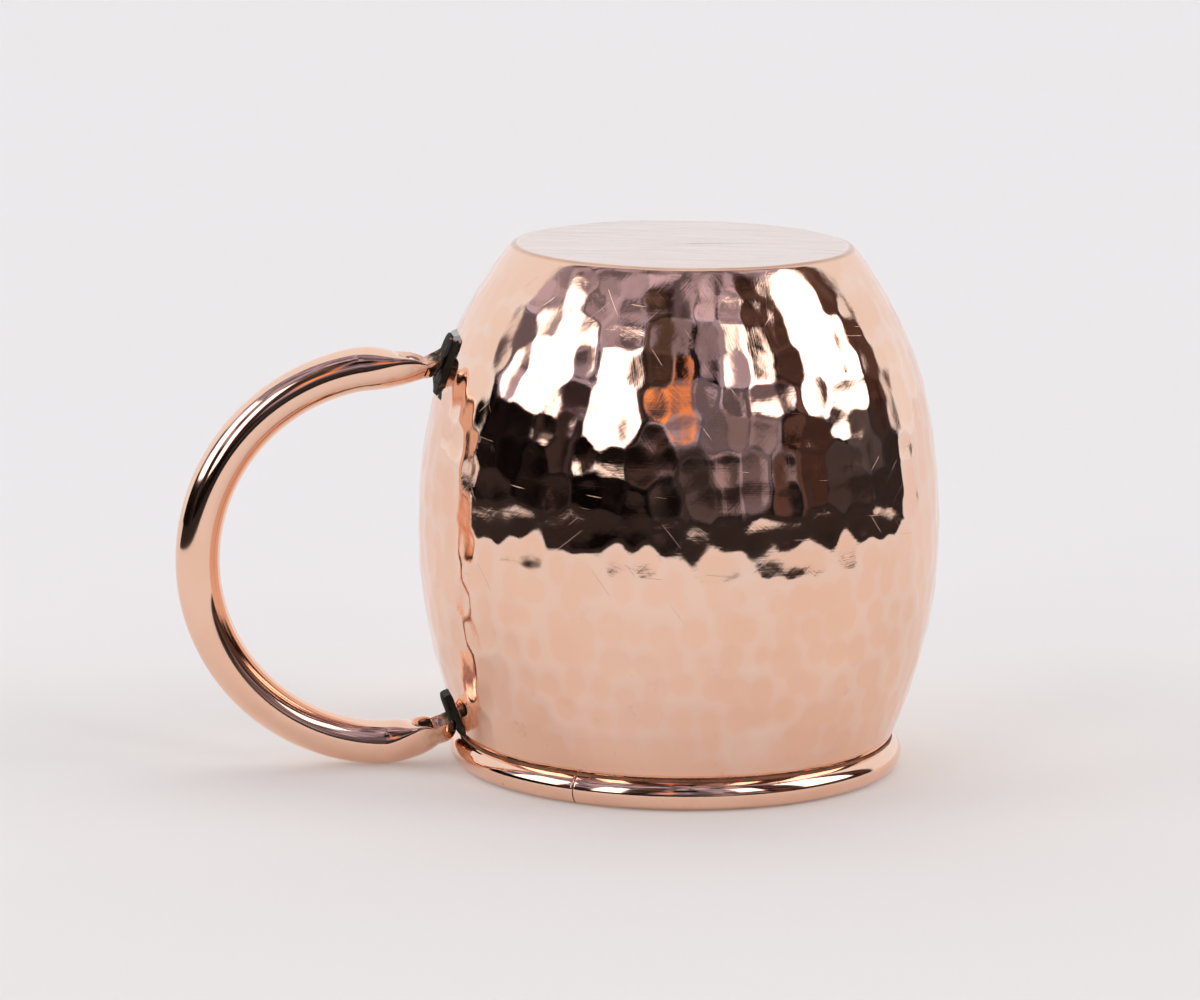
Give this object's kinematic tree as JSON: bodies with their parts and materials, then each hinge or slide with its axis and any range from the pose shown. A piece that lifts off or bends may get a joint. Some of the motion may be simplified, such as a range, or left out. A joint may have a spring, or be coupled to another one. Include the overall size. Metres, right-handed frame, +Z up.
{
  "type": "mug",
  "caption": "Hammered copper barrel mug with a wire-bound rim and a brazed tubular handle, stored upside down on its mouth.",
  "frame": {"origin": "on the barrel's axis, in the plane that the rim stands on", "axes": "+Z up the barrel's axis from the mouth to the flat base, as the mug stands upside down; the handle is on -X. Turning the part half a turn about X gives the drinking position, base down."},
  "size_m": [0.1355, 0.0928, 0.093],
  "materials": {
    "hammered_copper": "hammered and polished copper, satin on the base",
    "wire_copper": "polished copper wire",
    "tube_copper": "polished copper tube, oxidised dark at its flattened ends",
    "braze": "dark oxidised braze with silver-grey tips"
  },
  "bodies": {
    "root": {"barrel_shell": "hammered_copper", "rim_ring": "wire_copper", "rim_joint_braze": "braze", "rim_braze": "braze", "handle_tube": "tube_copper", "handle_braze_upper": "braze", "handle_braze_lower": "braze"}
  },
  "joints": []
}
